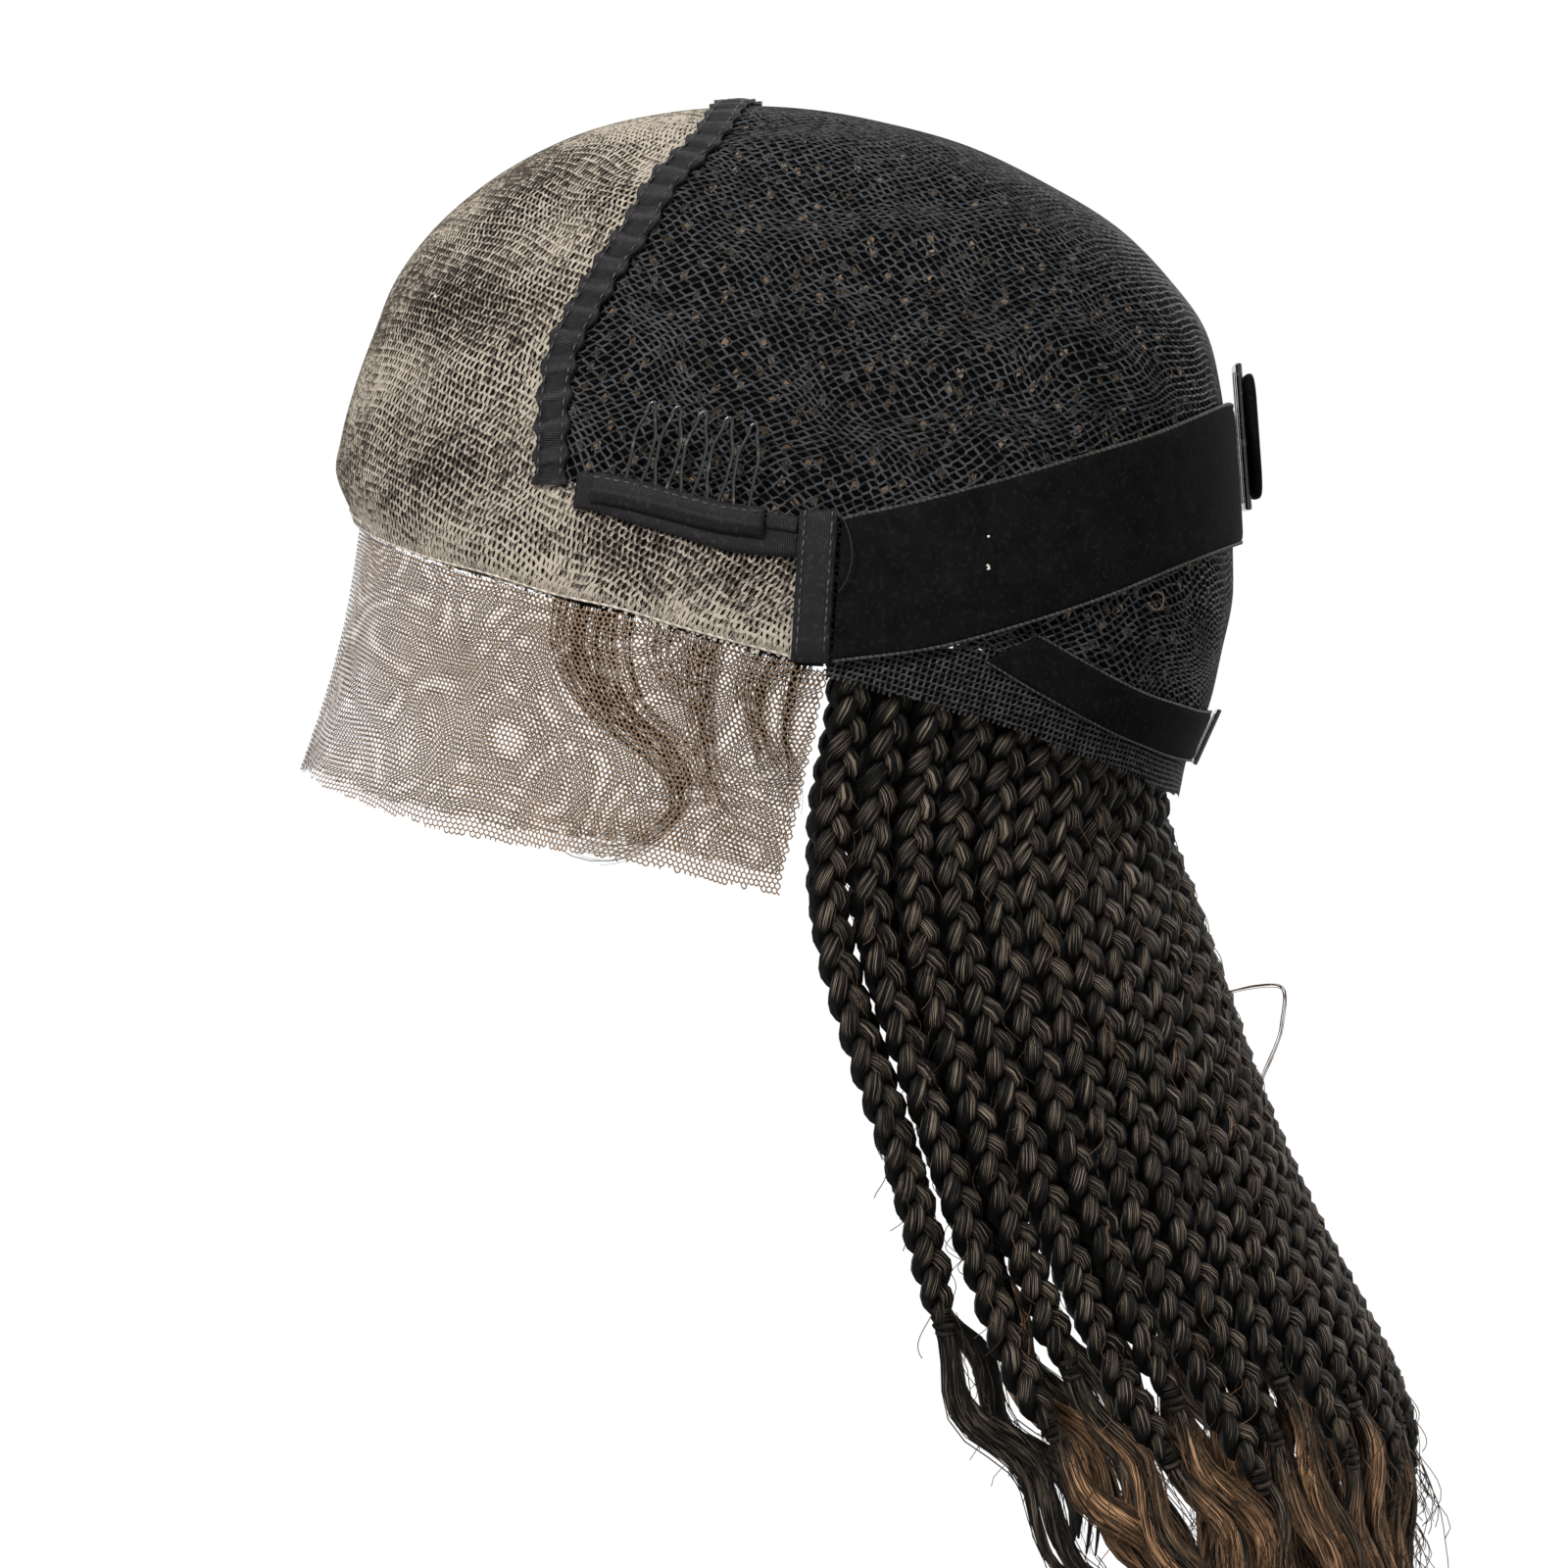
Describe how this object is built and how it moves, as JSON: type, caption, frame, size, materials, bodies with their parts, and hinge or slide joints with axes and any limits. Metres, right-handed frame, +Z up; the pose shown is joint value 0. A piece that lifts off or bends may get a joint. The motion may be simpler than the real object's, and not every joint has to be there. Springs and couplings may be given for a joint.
{
  "type": "braid wig",
  "caption": "Lace-front wig of box braids in its worn form, cap side out, with a sheer lace flap, side combs and elastic bands with sliders.",
  "frame": {"origin": "inside of the crown on the middle plane, where the cap sits on a head", "axes": "+Z up, the face toward -Y, the wearer's left toward +X; a head comes in from below along +Z"},
  "size_m": [0.1566, 0.2605, 0.365],
  "materials": {
    "taupe_knit": "matt double-knit lace, taupe with dark openings",
    "black_net": "matt stretch net, black",
    "sheer_lace": "sheer hexagonal net, beige-brown",
    "black_satin": "satin tape, charcoal, sewn and gathered",
    "black_elastic": "woven elastic, velvety black",
    "black_metal": "black lacquered wire with bare glints",
    "dark_braid": "synthetic fibre, near black with gold-brown fibres, brown and blonde toward the loose ends"
  },
  "bodies": {
    "root": {"band_folded_end": "black_elastic", "band_slider": "black_metal", "braid_left_01": "dark_braid", "braid_left_02": "dark_braid", "braid_left_03": "dark_braid", "braid_left_04": "dark_braid", "braid_left_05": "dark_braid", "braid_left_06": "dark_braid", "braid_left_07": "dark_braid", "braid_left_08": "dark_braid", "braid_left_09": "dark_braid", "braid_left_10": "dark_braid", "braid_left_11": "dark_braid", "braid_left_12": "dark_braid", "braid_left_13": "dark_braid", "braid_right_01": "dark_braid", "braid_right_02": "dark_braid", "braid_right_03": "dark_braid", "braid_right_04": "dark_braid", "braid_right_05": "dark_braid", "braid_right_06": "dark_braid", "braid_right_07": "dark_braid", "braid_right_08": "dark_braid", "braid_right_09": "dark_braid", "braid_right_10": "dark_braid", "braid_right_11": "dark_braid", "braid_right_12": "dark_braid", "braid_right_13": "dark_braid", "comb_left": "black_metal", "comb_right": "black_metal", "comb_tape_left": "black_satin", "comb_tape_right": "black_satin", "crown_net": "black_net", "crown_seam_ribbon": "black_satin", "ear_tape_left": "black_satin", "ear_tape_right": "black_satin", "front_lace_panel": "taupe_knit", "inner_braid_left_01": "dark_braid", "inner_braid_left_02": "dark_braid", "inner_braid_left_03": "dark_braid", "inner_braid_left_04": "dark_braid", "inner_braid_left_05": "dark_braid", "inner_braid_left_06": "dark_braid", "inner_braid_right_01": "dark_braid", "inner_braid_right_02": "dark_braid", "inner_braid_right_03": "dark_braid", "inner_braid_right_04": "dark_braid", "inner_braid_right_05": "dark_braid", "inner_braid_right_06": "dark_braid", "lace_flap": "sheer_lace", "nape_panel": "black_net", "nape_strap_left": "black_elastic", "nape_strap_right": "black_elastic", "nape_strap_slider": "black_metal", "side_tab_left": "black_satin", "side_tab_right": "black_satin", "wide_band_left": "black_elastic", "wide_band_right": "black_elastic"}
  },
  "joints": []
}
